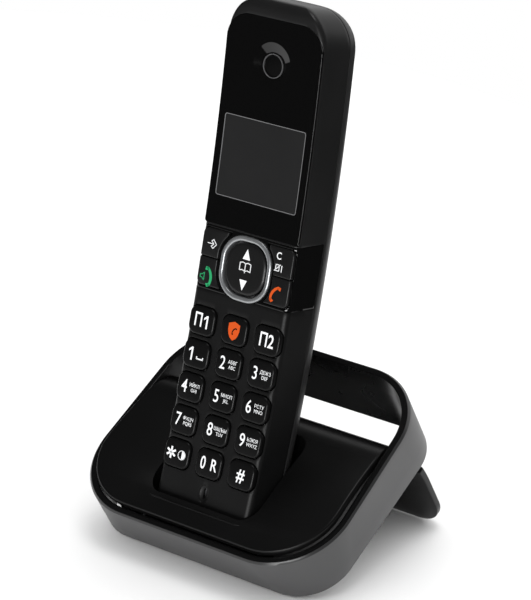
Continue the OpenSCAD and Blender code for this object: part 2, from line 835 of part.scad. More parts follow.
module batteries() {
    color([0.1, 0.45, 0.3]) hand_frame() for (side = [-1, 1]) {
        translate([side * cell_across, cell_depth, cell_low]) cylinder(r = cell_radius, h = cell_length - 1, $fn = 64);
        translate([side * cell_across, cell_depth, side > 0 ? cell_low + cell_length - 1 - tiny : cell_low - 0.8])
            cylinder(r = 1.9, h = 0.8 + tiny, $fn = 32);
    }
}
module battery_contacts() {
    color([0.8, 0.8, 0.8]) hand_frame() {
        into_depth(13, 22) for (side = [-1, 1]) translate([side * cell_across - 4, 34]) square([8, 0.5]);
        into_depth(13, 22) translate([-cell_across - 4, 80.6]) square([2 * cell_across + 8, 0.5]);
    }
}
module charge_pads() {
    color([0.85, 0.7, 0.35]) hand_frame() for (side = [-1, 1])
        translate([side * pin_across, contact_depth, hand_bottom - tiny])
            cylinder(r = pad_radius, h = 0.6, $fn = 40);
}
module handset_screws() {
    color([0.6, 0.6, 0.62]) hand_frame() {
        into_depth(bay_floor + bay_floor_thick, bay_floor + bay_floor_thick + 1.5) screw_places() difference() {
            circle(2.1, $fn = 40);
            square([0.6, 2.6], center = true);
            square([2.6, 0.6], center = true);
        }
        into_depth(pilot_start + 0.2, bay_floor + bay_floor_thick + tiny) screw_places() circle(0.85, $fn = 32);
    }
}

base_band();
cradle_tray();
base_bottom_cover();
base_feet();
base_screws();
base_circuit_board();
base_radio_shield();
line_socket();
power_socket();
paging_button();
paging_switch();
charge_pin_left();
charge_pin_right();
handset_front_shell();
display_lens();
navigation_bezel();
navigation_ring();
navigation_key();
menu_key();
call_key();
clear_key();
end_key();
key_p1();
key_guard();
key_p2();
key_1();
key_2();
key_3();
key_4();
key_5();
key_6();
key_7();
key_8();
key_9();
key_star();
key_0();
key_hash();
keypad_membrane();
handset_circuit_board();
display_module();
earpiece();
microphone();
ringer();
radio_shield();
handset_rear_shell();
battery_door();
batteries();
battery_contacts();
charge_pads();
handset_screws();
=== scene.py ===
"""A cordless telephone handset standing in its charging cradle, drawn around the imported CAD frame."""

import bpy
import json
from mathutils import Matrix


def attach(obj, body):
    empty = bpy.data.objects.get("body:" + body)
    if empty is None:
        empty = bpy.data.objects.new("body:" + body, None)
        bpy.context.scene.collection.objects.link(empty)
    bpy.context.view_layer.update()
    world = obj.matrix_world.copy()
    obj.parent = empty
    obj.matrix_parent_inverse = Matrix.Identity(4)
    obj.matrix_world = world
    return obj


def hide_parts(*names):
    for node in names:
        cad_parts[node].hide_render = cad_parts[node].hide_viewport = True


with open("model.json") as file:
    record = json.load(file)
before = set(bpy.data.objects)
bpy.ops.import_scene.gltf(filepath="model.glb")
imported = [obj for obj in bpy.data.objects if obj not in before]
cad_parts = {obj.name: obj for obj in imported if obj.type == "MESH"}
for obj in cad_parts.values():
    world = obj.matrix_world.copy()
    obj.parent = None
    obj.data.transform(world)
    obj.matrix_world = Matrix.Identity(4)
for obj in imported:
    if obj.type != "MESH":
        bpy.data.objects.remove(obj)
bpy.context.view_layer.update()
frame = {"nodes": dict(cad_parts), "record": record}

import json
import math

import bmesh
import bpy
from mathutils import Vector

MM = 0.001
BODY_OF = {node: body for body, nodes in frame["record"]["behaviour"]["bodies"].items() for node in nodes}

# ---------- dimensions, in millimetres ----------
MIDDLE_Y = 35.53
TILT = math.radians(29.87)
RIM_ORIGIN = (-7.7 - MIDDLE_Y, 15.32)
LEAN = math.radians(14.26)
HAND_ORIGIN = (3.1 - MIDDLE_Y, 21.52)

BAND_HALF_FRONT = 53.2
BAND_HALF_REAR = 49.65
BAND_LENGTH = 84.4
BAND_WALL = 2.9
BAND_HEIGHT = 18.77
BAND_HEIGHT_GROWTH = 0.068
RIM_CORNER = 25.5
FOOT_CORNER = 17.0
FOOT_INSET = (2.8, 2.2)
TABLE_GAP = 0.4

TRAY_WALL = 2.6
TRAY_INSET = 3.5
TRAY_CREST = 2.7
CREST_S = 27.0
FRONT_FALL = 0.0012
REAR_FALL = 0.0034
BEND_S = 50.0
BEND_RADIUS = 15.0
BEND_TURN = 58.0
LEG_RADIUS = 50.0
LEG_NECK = 44.1
LEG_HALF = 47.3
LEG_SHOULDER = -23.7
LEG_ROOT = -55.2
LEG_CORNER = 11.0
SOCKET_ACROSS = 16
POCKET = {"half": 22.2, "front": -2.2, "back": 26.0, "floor": -9.4, "corner": 5.5, "wall": 1.6}

HAND_BOTTOM = -9.0
HAND_TOP = 168.5
FACE_HALF = 19.6
BODY_HALF = 21.4
FRONT_DEPTH = 12.0
BODY_DEPTH = 23.0
FACE_CURVE = 781.0
HOLLOW_HEIGHT = 83.35
HOLLOW_DEPTH = 4.45
FACE_CORNER = 2.2
TOP_CORNER = 13.0
BOTTOM_CORNER = 6.5
FRONT_ROUND = {"top": 4.0, "bottom": 3.0}
BACK_ROUND = {"top": 9.0, "bottom": 7.0}
BACK_POWER = 2.3
SEAM = 0.2
FRONT_WALL = 2.0
REAR_WALL = 1.6
NAV_LOW = 70.5
NAV_HIGH = 92.0
NAV_CENTRE = 80.5
NAV_WRAP = 11.3
RING_SIZE = (20.6, 21.4)
RING_CORNER = 8.6
ROCKER_SIZE = (16.4, 17.2)
ROCKER_CORNER = 7.2
SIDE_KEY_MIDDLE = 81.3
SIDE_KEY_PROUD = 0.4
KEY_PITCH = (13.5, 11.28)
KEY_SIZE = (10.6, 9.5)
KEY_CORNER = 2.8
KEY_FIRST_ROW = 14.8
KEY_PROUD = 0.8
KEY_GAP = 0.25
LENS_HALF = 19.2
LENS_TOP = 162.6
LENS_CORNER = 8.5
LENS_RECESS = 1.05
WINDOW = {"width": 32.9, "height": 27.1, "centre": 115.7}
EAR_HEIGHT = 147.6
MIC_HEIGHT = 4.8
DOOR = {"half": 14.0, "low": 32.0, "high": 100.0, "depth": 19.0, "corner": 4.0, "gap": 0.2}
BAY = {"width": 26.8, "height": 66.0, "wall": 1.2, "front": 11, "floor": 12}
SCREW_PLACES = ((-11, 95), (11, 95))
BEYOND = 36


# ---------- frames: every point is given in millimetres in one of these ----------
def table(x, y, z):
    return Vector((x, y - MIDDLE_Y, z)) * MM


def rim(x, s, r):
    """The plane of the rim: x across, s up its slope, r square to it."""
    y = RIM_ORIGIN[0] + s * math.cos(TILT) - r * math.sin(TILT)
    z = RIM_ORIGIN[1] + s * math.sin(TILT) + r * math.cos(TILT)
    return Vector((x, y, z)) * MM


def hand(u, depth, v):
    """The leaning handset: u across, depth into its back, v up its length."""
    y = HAND_ORIGIN[0] + depth * math.cos(LEAN) + v * math.sin(LEAN)
    z = HAND_ORIGIN[1] - depth * math.sin(LEAN) + v * math.cos(LEAN)
    return Vector((u, y, z)) * MM


def face_at(v):
    """Depth of the handset's hollow face at height v."""
    return HOLLOW_DEPTH - (v - HOLLOW_HEIGHT) ** 2 / (2 * FACE_CURVE)


def on_face(u, v, h):
    """h is the height out of the face."""
    return hand(u, face_at(v) - h, v)


# ---------- outlines ----------
def corner_arc(a, b, c, radius, steps):
    a, b, c = Vector(a), Vector(b), Vector(c)
    to_a, to_c = (a - b).normalized(), (c - b).normalized()
    half = math.acos(max(-1, min(1, to_a.dot(to_c)))) / 2
    centre = b + (to_a + to_c).normalized() * radius / math.sin(half)
    start = b + to_a * radius / math.tan(half) - centre
    end = b + to_c * radius / math.tan(half) - centre
    first = math.atan2(start.y, start.x)
    turn = (math.atan2(end.y, end.x) - first + 3 * math.pi) % (2 * math.pi) - math.pi
    return [
        centre + radius * Vector((math.cos(first + turn * k / steps), math.sin(first + turn * k / steps)))
        for k in range(steps + 1)
    ]


def rounded(points, radii, steps=8, inset=0.0):
    """A closed outline with round corners, drawn in from a counter-clockwise polygon by an inset."""
    count = len(points)
    corners = [Vector(p) for p in points]
    edges = []
    for i in range(count):
        along = (corners[(i + 1) % count] - corners[i]).normalized()
        edges.append((corners[i] + inset * Vector((-along.y, along.x)), along))
    moved, kinds = [], []
    for i in range(count):
        (p, d), (q, e) = edges[i - 1], edges[i]
        cross = d.x * e.y - d.y * e.x
        moved.append(q if abs(cross) < 1e-9 else p + d * ((q - p).x * e.y - (q - p).y * e.x) / cross)
        kinds.append(cross > 0)
    result = []
    for i in range(count):
        radius = max(radii[i] - inset if kinds[i] else radii[i] + inset, 0.05)
        result += corner_arc(moved[i - 1], moved[i], moved[(i + 1) % count], radius, steps)
    return result


def box_outline(centre, size, radius, steps=8):
    """Returns a function of the inset, for a rounded rectangle."""
    (x, y), (w, h) = centre, (size[0] / 2, size[1] / 2)
    points = [(x - w, y - h), (x + w, y - h), (x + w, y + h), (x - w, y + h)]
    return lambda inset: rounded(points, [radius] * 4, steps, inset)


def round_outline(x, y, radius, steps):
    """Returns a function of the inset, for a circle."""
    turns = [2 * math.pi * k / steps for k in range(steps)]
    return lambda inset: [
        Vector((x + (radius - inset) * math.cos(turn), y + (radius - inset) * math.sin(turn)))
        for turn in turns
    ]


def edge_profile(low, high, radius, steps=4, foot=0.0):
    """Insets and heights of a slab's rings, from its underside to its round top edge."""
    rings = [(foot, low), (0.0, low + foot)] if foot else [(0.0, low)]
    for k in range(steps + 1):
        turn = math.pi / 2 * k / steps
        rings.append((radius * (1 - math.cos(turn)), high - radius + radius * math.sin(turn)))
    return rings


# ---------- meshes ----------
def build(verts, faces):
    """A bmesh from points and faces."""
    bm = bmesh.new()
    made = [bm.verts.new(v) for v in verts]
    for f in faces:
        if len(set(f)) > 2:
            bm.faces.new([made[i] for i in f])
    return bm


def ring_faces(loops, count, closed_loops=False):
    faces = []
    for i in range(loops if closed_loops else loops - 1):
        for j in range(count):
            a, b = i * count + j, i * count + (j + 1) % count
            k = (i + 1) % loops
            faces.append((a, b, k * count + (j + 1) % count, k * count + j))
    return faces


def slab(outline, profile, place, cuts=(), hoop=False):
    """A closed solid of outline rings, one for each (inset, height). It is sliced at the cuts along y, and
    then every point (x, y, height) is put in its place."""
    verts = []
    for inset, height in profile:
        verts += [Vector((p.x, p.y, height)) for p in outline(inset)]
    count = len(verts) // len(profile)
    faces = ring_faces(len(profile), count, hoop)
    if not hoop:
        faces.append(tuple(reversed(range(count))))
        faces.append(tuple(range(len(verts) - count, len(verts))))
    bm = build(verts, faces)
    for y in cuts:
        everything = bm.verts[:] + bm.edges[:] + bm.faces[:]
        bmesh.ops.bisect_plane(bm, geom=everything, dist=1e-5, plane_co=(0, y, 0), plane_no=(0, 1, 0))
    for v in bm.verts:
        v.co = place(v.co.x, v.co.y, v.co.z)
    return bm


def spaced(low, high, step):
    count = max(1, round((high - low) / step))
    return [low + (high - low) * k / count for k in range(1, count)]


def finish_mesh(bm, name, smooth=32):
    bmesh.ops.remove_doubles(bm, verts=bm.verts[:], dist=1e-7)
    bmesh.ops.recalc_face_normals(bm, faces=bm.faces[:])
    mesh = bpy.data.meshes.new(name)
    bm.to_mesh(mesh)
    bm.free()
    mesh.polygons.foreach_set("use_smooth", [True] * len(mesh.polygons))
    mesh.set_sharp_from_angle(angle=math.radians(smooth))
    return mesh


def new_object(bm, name, smooth=32):
    piece = bpy.data.objects.new(name, finish_mesh(bm, name, smooth))
    bpy.context.scene.collection.objects.link(piece)
    return piece


def apply_modifiers(piece, smooth=32):
    bpy.context.view_layer.update()
    made = bpy.data.meshes.new_from_object(piece.evaluated_get(bpy.context.evaluated_depsgraph_get()))
    piece.modifiers.clear()
    piece.data = made
    made.polygons.foreach_set("use_smooth", [True] * len(made.polygons))
    made.set_sharp_from_angle(angle=math.radians(smooth))


def combine(piece, others, operation="DIFFERENCE"):
    """Cuts the others out of the piece, or joins or intersects them with it."""
    for other in others:
        change = piece.modifiers.new("combine", "BOOLEAN")
        change.operation = operation
        change.solver = "EXACT"
        change.object = other
    apply_modifiers(piece)
    for other in others:
        bpy.data.objects.remove(other)


def soften(piece, width, angle=40, segments=2):
    """Rounds the piece's sharp edges."""
    bm = bmesh.new()
    bm.from_mesh(piece.data)
    bmesh.ops.remove_doubles(bm, verts=bm.verts[:], dist=2e-6)
    bmesh.ops.dissolve_degenerate(bm, edges=bm.edges[:], dist=2e-6)
    edges = [e for e in bm.edges if len(e.link_faces) == 2 and e.calc_face_angle(0) > math.radians(angle)]
    bmesh.ops.bevel(
        bm, geom=edges, offset=width * MM, offset_type="OFFSET", segments=segments, profile=0.5,
        affect="EDGES", clamp_overlap=True,
    )
    piece.data = finish_mesh(bm, piece.name)


def settle(piece, node, material):
    """The piece stands for a CAD node: it rides where the node does and takes its slot."""
    piece.data.materials.clear()
    piece.data.materials.append(material)
    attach(piece, BODY_OF[node])
    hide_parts(node)
    return piece


def trim(piece, node, material):
    """A detail that rides with a node, such as printing or a ring, and replaces nothing."""
    piece.data.materials.clear()
    piece.data.materials.append(material)
    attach(piece, BODY_OF[node])
    return piece


def refine(node, material, width=0.2, angle=40):
    """A copy of a CAD node with round edges takes its place."""
    piece = bpy.data.objects.new(node + "_fine", frame["nodes"][node].data.copy())
    bpy.context.scene.collection.objects.link(piece)
    bm = bmesh.new()
    bm.from_mesh(piece.data)
    bmesh.ops.remove_doubles(bm, verts=bm.verts[:], dist=1e-6)
    bmesh.ops.dissolve_limit(bm, angle_limit=math.radians(1), verts=bm.verts[:], edges=bm.edges[:])
    piece.data = finish_mesh(bm, node)
    soften(piece, width, angle)
    return settle(piece, node, material)


# ---------- materials ----------
def plastic(
    name, colour, rough, grain=0.0, grain_size=0.5, mottle=0.15, coat=0.0, metal=0.0, vary=0.08, shine=0.5,
):
    """Moulded plastic or metal: a fine grain in the bump, and slow changes of colour and of roughness."""
    material = bpy.data.materials.new(name)
    material.use_nodes = True
    nodes, links = material.node_tree.nodes, material.node_tree.links
    shader = nodes["Principled BSDF"]
    shader.inputs["Metallic"].default_value = metal
    shader.inputs["Coat Weight"].default_value = coat
    shader.inputs["Specular IOR Level"].default_value = shine
    where = nodes.new("ShaderNodeTexCoord")
    slow = nodes.new("ShaderNodeTexNoise")
    slow.inputs["Scale"].default_value = 45
    slow.inputs["Detail"].default_value = 3
    links.new(where.outputs["Object"], slow.inputs["Vector"])
    shade = nodes.new("ShaderNodeMix")
    shade.data_type = "RGBA"
    shade.inputs["A"].default_value = (*[c * (1 - mottle) for c in colour], 1)
    shade.inputs["B"].default_value = (*[min(1, c * (1 + mottle)) for c in colour], 1)
    links.new(slow.outputs["Fac"], shade.inputs["Factor"])
    links.new(shade.outputs["Result"], shader.inputs["Base Color"])
    fine = nodes.new("ShaderNodeTexNoise")
    fine.inputs["Scale"].default_value = 1 / (grain_size * MM)
    fine.inputs["Detail"].default_value = 4
    links.new(where.outputs["Object"], fine.inputs["Vector"])
    spread = nodes.new("ShaderNodeMapRange")
    spread.inputs["To Min"].default_value = max(0.0, rough - vary)
    spread.inputs["To Max"].default_value = min(1.0, rough + vary)
    links.new(slow.outputs["Fac"], spread.inputs["Value"])
    links.new(spread.outputs["Result"], shader.inputs["Roughness"])
    if grain:
        bump = nodes.new("ShaderNodeBump")
        bump.inputs["Strength"].default_value = grain
        bump.inputs["Distance"].default_value = 0.05 * MM
        links.new(fine.outputs["Fac"], bump.inputs["Height"])
        links.new(bump.outputs["Normal"], shader.inputs["Normal"])
    return material


def grey(level):
    return (level, level, level * 1.02)


M = {
    # Outer band wall: black plastic, its grey raised with painted reflection of the bright floor below it.
    "band": plastic("band_wall_plastic_painted_reflection", grey(0.05), 0.42, grain=0.06, grain_size=0.6, shine=0.4),
    "inner": plastic("band_inside_satin", grey(0.006), 0.28, grain=0.05, grain_size=0.6, shine=0.35),
    "rim": plastic("band_rim_polish", grey(0.003), 0.2, mottle=0.05, vary=0.03, shine=0.4),
    "chamfer": plastic("band_chamfer_satin", grey(0.02), 0.3, grain=0.04),
    "tray": plastic("tray_satin", grey(0.003), 0.33, grain=0.12, grain_size=0.5, shine=0.26),
    "under": plastic("underside_matt", grey(0.015), 0.55, grain=0.3, grain_size=0.6),
    "foot": plastic("foot_rubber", grey(0.02), 0.8, grain=0.4, grain_size=0.4),
    "steel": plastic("zinc_steel", (0.55, 0.55, 0.57), 0.3, grain=0.1, metal=1.0),
    "tin": plastic("tinned_sheet", (0.66, 0.67, 0.69), 0.35, grain=0.06, metal=1.0),
    "board": plastic("solder_mask", (0.012, 0.12, 0.04), 0.35, grain=0.2, coat=0.3),
    "gold": plastic("contact_plating", (0.78, 0.56, 0.2), 0.22, grain=0.03, metal=1.0),
    "socket": plastic("socket_black", grey(0.012), 0.45, grain=0.1),
    "button": plastic("button_grey", grey(0.05), 0.45, grain=0.15),
    "hand": plastic("handset_matt", grey(0.004), 0.4, grain=0.4, grain_size=0.28, mottle=0.25, shine=0.24),
    "head": plastic(
        "handset_head_satin", grey(0.0068), 0.38, grain=0.2, grain_size=0.28, mottle=0.2, shine=0.4,
    ),
    "rear": plastic("rear_shell_satin", grey(0.012), 0.4, grain=0.25, grain_size=0.3),
    "gloss": plastic("lens_gloss", grey(0.002), 0.06, mottle=0.05, vary=0.02, shine=0.45),
    "key": plastic("key_satin", grey(0.003), 0.3, grain=0.1, grain_size=0.3, shine=0.2),
    "rocker": plastic("rocker_satin", grey(0.0055), 0.32, grain=0.08, grain_size=0.3, shine=0.35),
    "silver": plastic("ring_silver", (0.36, 0.37, 0.38), 0.3, grain=0.08, metal=0.8),
    "display": plastic("display_glass", grey(0.013), 0.22, mottle=0.08, grain=0.02, shine=0.3),
    # Window edge: a thin raised line whose light grey is painted highlight along the display window's edge.
    "window_highlight_line": plastic("window_edge_painted_highlight", grey(0.15), 0.3, mottle=0.1),
    # Earpiece rim: a real raised ring whose light grey is painted highlight.
    "earpiece_highlight_line": plastic("earpiece_edge_painted_highlight", grey(0.09), 0.3, mottle=0.1),
    "white": plastic("print_white", (0.72, 0.73, 0.74), 0.45, mottle=0.04, grain=0.05),
    "green": plastic("print_green", (0.015, 0.27, 0.1), 0.5, mottle=0.06, grain=0.05, shine=0.15),
    "orange": plastic("print_orange", (0.5, 0.062, 0.004), 0.5, mottle=0.06, grain=0.05, shine=0.15),
    "rubber": plastic("membrane_rubber", grey(0.3), 0.65, grain=0.2),
    "cell": plastic("battery_film", (0.02, 0.2, 0.11), 0.25, grain=0.04, coat=0.3),
    "speaker": plastic("speaker_grey", grey(0.04), 0.5, grain=0.2),
    "dark": plastic("shadow_black", grey(0.0015), 0.5, grain=0.05, shine=0.1),
}


# ---------- cradle ----------
def rim_outline(inset, corner=None, steps=22, extra=(0.0, 0.0)):
    ix, iy = inset + extra[0], inset + extra[1]
    points = [
        (-BAND_HALF_FRONT + ix, iy), (BAND_HALF_FRONT - ix, iy),
        (BAND_HALF_REAR - ix, BAND_LENGTH - iy), (-BAND_HALF_REAR + ix, BAND_LENGTH - iy),
    ]
    return rounded(points, [corner or RIM_CORNER - inset] * 4, steps)


RIM_LOOPS, FOOT_LOOPS = {}, {}


def wall_point(inset, share, index):
    """A point of the wall between its rim (share 0) and its lower edge (share 1)."""
    top = RIM_LOOPS[inset][index]
    foot = FOOT_LOOPS[inset][index]
    low = -BAND_HEIGHT - BAND_HEIGHT_GROWTH * foot.y
    point = top.lerp(foot, share)
    return point, share * low


def loops_for(inset):
    if inset not in RIM_LOOPS:
        RIM_LOOPS[inset] = rim_outline(inset)
        FOOT_LOOPS[inset] = rim_outline(inset, FOOT_CORNER - inset, extra=FOOT_INSET)
    return len(RIM_LOOPS[inset])


def band_wall():
    """The wall's section goes up the outside, over the chamfer and the polished rim, and down the inside."""
    chamfer = 0.75
    soft = 0.18
    profile = [
        (0.5, 1.0), (0.12, 0.985), (0.0, 0.96), (0.0, 0.7), (0.0, 0.4), (0.0, 0.15), (0.0, 0.052),
        (0.03, 0.043), (chamfer - 0.05, 0.004), (chamfer + 0.06, 0.0), (1.8, 0.0), (BAND_WALL - soft, 0.0),
        (BAND_WALL - 0.05, 0.004), (BAND_WALL, 0.013), (BAND_WALL, 0.3), (BAND_WALL, 0.7), (BAND_WALL, 0.985),
        (BAND_WALL - 0.3, 1.0),
    ]
    verts = []
    for inset, share in profile:
        count = loops_for(inset)
        for i in range(count):
            at_foot = wall_point(inset, 1.0, i)
            foot_z = rim(at_foot[0].x, at_foot[0].y, at_foot[1]).z / MM
            top_z = rim(0, RIM_LOOPS[inset][i].y, 0).z / MM
            reach = min(1.0, (top_z - TABLE_GAP) / (top_z - foot_z))
            point, r = wall_point(inset, share * reach, i)
            verts.append(rim(point.x, point.y, r))
    bm = build(verts, ring_faces(len(profile), count, True))
    piece = new_object(bm, "band_ring")
    settle(piece, "base_band", M["band"])
    piece.data.materials.append(M["chamfer"])
    piece.data.materials.append(M["rim"])
    piece.data.materials.append(M["inner"])
    # Rows outside the chamfer, rim and inside take the band wall material, which carries painted floor
    # reflection.
    for face in piece.data.polygons:
        row = face.index // count
        face.material_index = {7: 1}.get(row, 2 if 8 <= row <= 12 else 3 if 13 <= row <= 16 else 0)
    return piece


def crest(s):
    fall = FRONT_FALL if s < CREST_S else REAR_FALL
    return TRAY_CREST - fall * (s - CREST_S) ** 2


BEND_START = math.degrees(math.atan(2 * REAR_FALL * (BEND_S - CREST_S)))
BEND_CENTRE = Vector((
    BEND_S - BEND_RADIUS * math.sin(math.radians(BEND_START)),
    crest(BEND_S) - BEND_RADIUS * math.cos(math.radians(BEND_START)),
))
BEND_LENGTH = math.radians(BEND_TURN - BEND_START) * BEND_RADIUS
LEG_TURN_LENGTH = math.radians(90 - BEND_TURN) * LEG_RADIUS
TURN_END = Vector((math.sin(math.radians(BEND_TURN)), math.cos(math.radians(BEND_TURN))))
LEG_CENTRE = BEND_CENTRE + (BEND_RADIUS - LEG_RADIUS) * TURN_END
LEG_BACK = LEG_CENTRE.x + LEG_RADIUS
LEG_START = BEND_S + BEND_LENGTH + LEG_TURN_LENGTH


def tray_point(x, t, h):
    """t runs up the tray, round the bend and down the leg. h is the height over the upper surface."""
    if t < BEND_S:
        return rim(x, t, crest(t) + h)
    if t < BEND_S + BEND_LENGTH:
        turn = math.radians(BEND_START) + (t - BEND_S) / BEND_RADIUS
        centre, radius = BEND_CENTRE, BEND_RADIUS
    elif t < LEG_START:
        turn = math.radians(BEND_TURN) + (t - BEND_S - BEND_LENGTH) / LEG_RADIUS
        centre, radius = LEG_CENTRE, LEG_RADIUS
    else:
        return rim(x, LEG_BACK + h, LEG_CENTRE.y - (t - LEG_START))
    return rim(x, centre.x + (radius + h) * math.sin(turn), centre.y + (radius + h) * math.cos(turn))


def tray_outline(inset):
    """The tray and leg laid out flat: width against distance along the upper surface."""
    shoulder = LEG_START + LEG_CENTRE.y - LEG_SHOULDER
    root = LEG_START + LEG_CENTRE.y - LEG_ROOT
    front, side = BAND_HALF_FRONT - TRAY_INSET, (BAND_HALF_FRONT - BAND_HALF_REAR) / BAND_LENGTH
    half_bend = BAND_HALF_FRONT - TRAY_INSET - side * BEND_S
    right = [
        (front, TRAY_INSET), (half_bend, BEND_S), (46.9, BEND_S + 5), (LEG_NECK + 0.4, shoulder - 9),
        (LEG_NECK, shoulder), (LEG_HALF, shoulder), (LEG_HALF, root),
    ]
    radii = [22.0, 6.0, 12.0, 12.0, 0.5, 1.2, LEG_CORNER]
    points = right + [(-x, y) for x, y in reversed(right)]
    return rounded(points, radii + radii[::-1], 12, inset)


def depth_to_tray(u, depth):
    """Height up the handset where the line (u, depth) meets the middle of the tray's thickness."""
    low, high = 0.0, 60.0
    for _ in range(40):
        v = (low + high) / 2
        point = hand(u, depth, v) / MM
        y, z = point.y - RIM_ORIGIN[0], point.z - RIM_ORIGIN[1]
        s = y * math.cos(TILT) + z * math.sin(TILT)
        r = -y * math.sin(TILT) + z * math.cos(TILT)
        if s < BEND_S:
            inside = r < crest(s) - TRAY_WALL / 2
        else:
            inside = (Vector((s, r)) - BEND_CENTRE).length < BEND_RADIUS - TRAY_WALL / 2
        low, high = (v, high) if inside else (low, v)
    return low


def cradle_tray():
    cuts = [6, 9, 12] + spaced(12, BEND_S, 2.5) + [BEND_S] + spaced(BEND_S, LEG_START, 1.0) + [LEG_START]
    low_edge, high_edge = 0.35, 0.7
    profile = [(low_edge, -TRAY_WALL), (0.1, -TRAY_WALL + 0.1), (0.0, -TRAY_WALL + low_edge)]
    profile += edge_profile(-TRAY_WALL + 0.6, 0, high_edge, 6)
    piece = new_object(slab(tray_outline, profile, tray_point, cuts), "tray_and_leg")
    middle = (POCKET["front"] + POCKET["back"]) / 2
    span = POCKET["back"] - POCKET["front"]

    def pocket(grow):
        size = (2 * (POCKET["half"] + grow), span + 2 * grow)
        return box_outline((0, middle), size, POCKET["corner"] + grow, 10)(0)

    outer = pocket(POCKET["wall"])
    count = len(outer)
    floor = POCKET["floor"] - POCKET["wall"]
    verts = [hand(p.x, p.y, floor) for p in outer] + [hand(p.x, p.y, depth_to_tray(p.x, p.y)) for p in outer]
    faces = ring_faces(2, count) + [tuple(range(count)), tuple(range(count, 2 * count))]
    case = new_object(build(verts, faces), "case")
    inner = pocket(0)
    verts = [hand(p.x, p.y, POCKET["floor"]) for p in inner] + [hand(p.x, p.y, 80) for p in inner]
    hole = new_object(build(verts, faces), "hole")
    combine(piece, [case], "UNION")
    windows = [socket_window(x, 12.8, 6.8, 11.6) for x in (-SOCKET_ACROSS, SOCKET_ACROSS)]
    windows.append(socket_window(0, 9.6, 8.9, 6.0))
    combine(piece, [hole] + windows)
    soften(piece, 0.3, 50)
    return settle(piece, "cradle_tray", M["tray"])


def socket_window(x, width, low, height):
    bm = bmesh.new()
    bmesh.ops.create_cube(bm, size=1)
    for v in bm.verts:
        v.co = table(x + v.co.x * width, 75 + v.co.y * 30, low + (v.co.z + 0.5) * height)
    return new_object(bm, "window")


# ---------- handset ----------
def end_shape(v):
    """Half width of the front view, and how far the two ends round in at the face and at the back."""
    low, high = v - HAND_BOTTOM, HAND_TOP - v

    def rounding(radius, distance):
        return radius - math.sqrt(max(0.0, radius**2 - max(0.0, radius - distance) ** 2))

    half = BODY_HALF - max(rounding(TOP_CORNER, high), rounding(BOTTOM_CORNER, low))
    front = max(rounding(FRONT_ROUND["top"], high), rounding(FRONT_ROUND["bottom"], low))
    back = max(rounding(BACK_ROUND["top"], high), rounding(BACK_ROUND["bottom"], low))
    return half, front, back


def section_point(kind, k, v):
    """Point k, from 0 to 1, of half a section: from the middle of the face or back to the parting line."""
    half, front, back = end_shape(v)
    depth = face_at(v)
    if kind == "front":
        flat, arc = 0.55, 0.8
        if k < flat:
            x, d = (FACE_HALF - FACE_CORNER) * k / flat, 0.0
        elif k < arc:
            turn = math.pi / 2 * (k - flat) / (arc - flat)
            x = FACE_HALF - FACE_CORNER + FACE_CORNER * math.sin(turn)
            d = FACE_CORNER * (1 - math.cos(turn))
        else:
            share = (k - arc) / (1 - arc)
            x = FACE_HALF + (BODY_HALF - FACE_HALF) * share
            d = FACE_CORNER + (FRONT_DEPTH - SEAM - FACE_CORNER) * share
        d = front + d * (FRONT_DEPTH - front) / FRONT_DEPTH
    else:
        turn = math.pi / 2 * k
        x = BODY_HALF * math.sin(turn) ** (2 / BACK_POWER) if k > 0 else 0.0
        d = FRONT_DEPTH + SEAM + (BODY_DEPTH - FRONT_DEPTH - SEAM - back) * math.cos(turn) ** (2 / BACK_POWER)
    return hand(x * half / BODY_HALF, depth + d, v), x


def shell(kind, name, wall, parts=48):
    """Half a casing: a skin lofted up the handset, closed at both ends, and thickened inwards."""
    ends = [13.5 * (1 - math.cos(math.pi / 2 * k / 16)) for k in range(17)]
    heights = [HAND_BOTTOM + e for e in ends if e < 8] + spaced(HAND_BOTTOM + 7.6, HAND_TOP - 13.5, 2.2)
    heights += [HAND_TOP - e for e in reversed(ends)]
    verts = []
    for v in heights:
        side = [section_point(kind, k / parts, v)[0] for k in range(parts + 1)]
        verts += [Vector((-p.x, p.y, p.z)) for p in reversed(side[1:])] + side
    count = 2 * parts + 1
    faces = [
        (i * count + j, i * count + j + 1, (i + 1) * count + j + 1, (i + 1) * count + j)
        for i in range(len(heights) - 1)
        for j in range(count - 1)
    ]
    faces += [tuple(range(count)), tuple(range(len(verts) - count, len(verts)))]
    bm = build(verts, faces)
    bmesh.ops.recalc_face_normals(bm, faces=bm.faces[:])
    middle = hand(0, face_at(80) + FRONT_DEPTH, 80)
    outermost = hand(0, face_at(80) + (0 if kind == "front" else BODY_DEPTH), 80)
    face = min(bm.faces, key=lambda f: (f.calc_center_median() - outermost).length)
    if face.normal.dot(face.calc_center_median() - middle) < 0:
        bmesh.ops.reverse_faces(bm, faces=bm.faces[:])
    mesh = bpy.data.meshes.new(name)
    bm.to_mesh(mesh)
    bm.free()
    piece = bpy.data.objects.new(name, mesh)
    bpy.context.scene.collection.objects.link(piece)
    thick = piece.modifiers.new("thick", "SOLIDIFY")
    thick.thickness = wall * MM
    thick.offset = -1
    thick.use_even_offset = False
    apply_modifiers(piece)
    return piece


def prism(outline, low, high, place=hand):
    """A cutter: an outline seen from the front, from one depth to another."""
    points = outline(0)
    count = len(points)
    verts = [place(p.x, low, p.y) for p in points] + [place(p.x, high, p.y) for p in points]
    faces = ring_faces(2, count) + [tuple(range(count)), tuple(range(count, 2 * count))]
    return new_object(build(verts, faces), "prism")


def tilted(u, depth, v):
    """Round the sides, the frame's two edges rise a little towards the back."""
    return hand(u, depth, v + 0.12 * (depth - 5))


